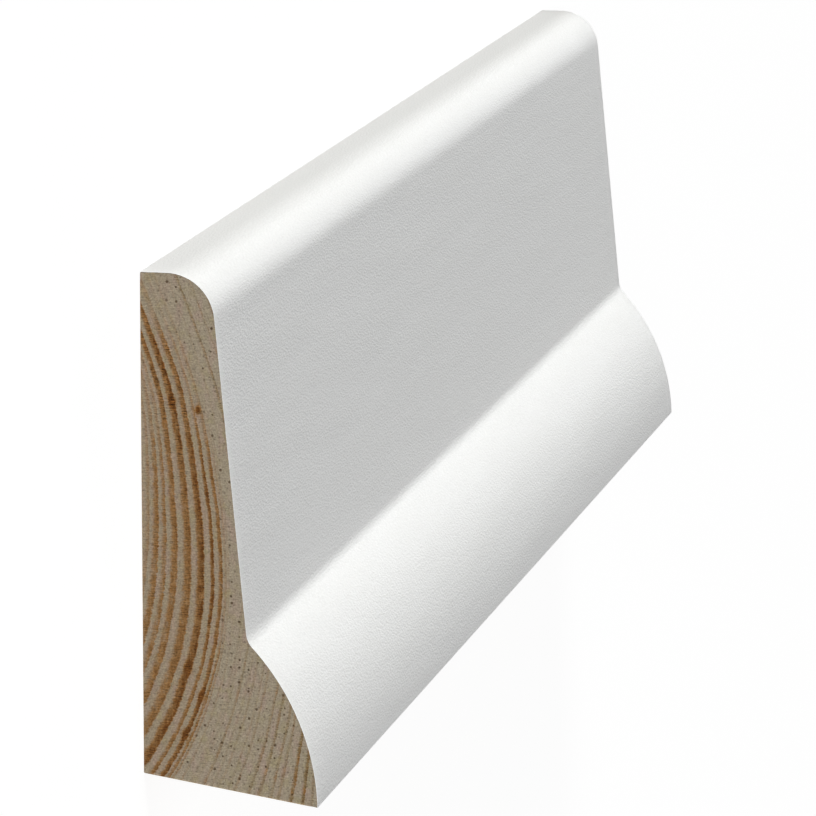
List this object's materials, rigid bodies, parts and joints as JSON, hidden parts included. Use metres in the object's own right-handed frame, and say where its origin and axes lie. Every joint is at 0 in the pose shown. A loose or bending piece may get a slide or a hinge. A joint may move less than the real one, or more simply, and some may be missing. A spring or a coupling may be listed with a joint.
{
  "type": "skirting board length",
  "caption": "Short length of painted pine skirting board with a leaning face, a rounded top edge, an ovolo foot with a crease above it, and square sawn ends.",
  "frame": {"origin": "on the flat wall face, under the middle of the outer size", "axes": "+X along the length, +Y up the board from the toe to the top edge, +Z out from the wall face to the moulded face; the board lies on its wall face"},
  "size_m": [0.24, 0.06, 0.02],
  "materials": {
    "painted_pine": "smooth satin white paint on the show faces, bare sawn end grain on both ends, bare planed wood on the wall face and underside"
  },
  "bodies": {
    "root": {"skirting_board": "painted_pine"}
  },
  "joints": []
}
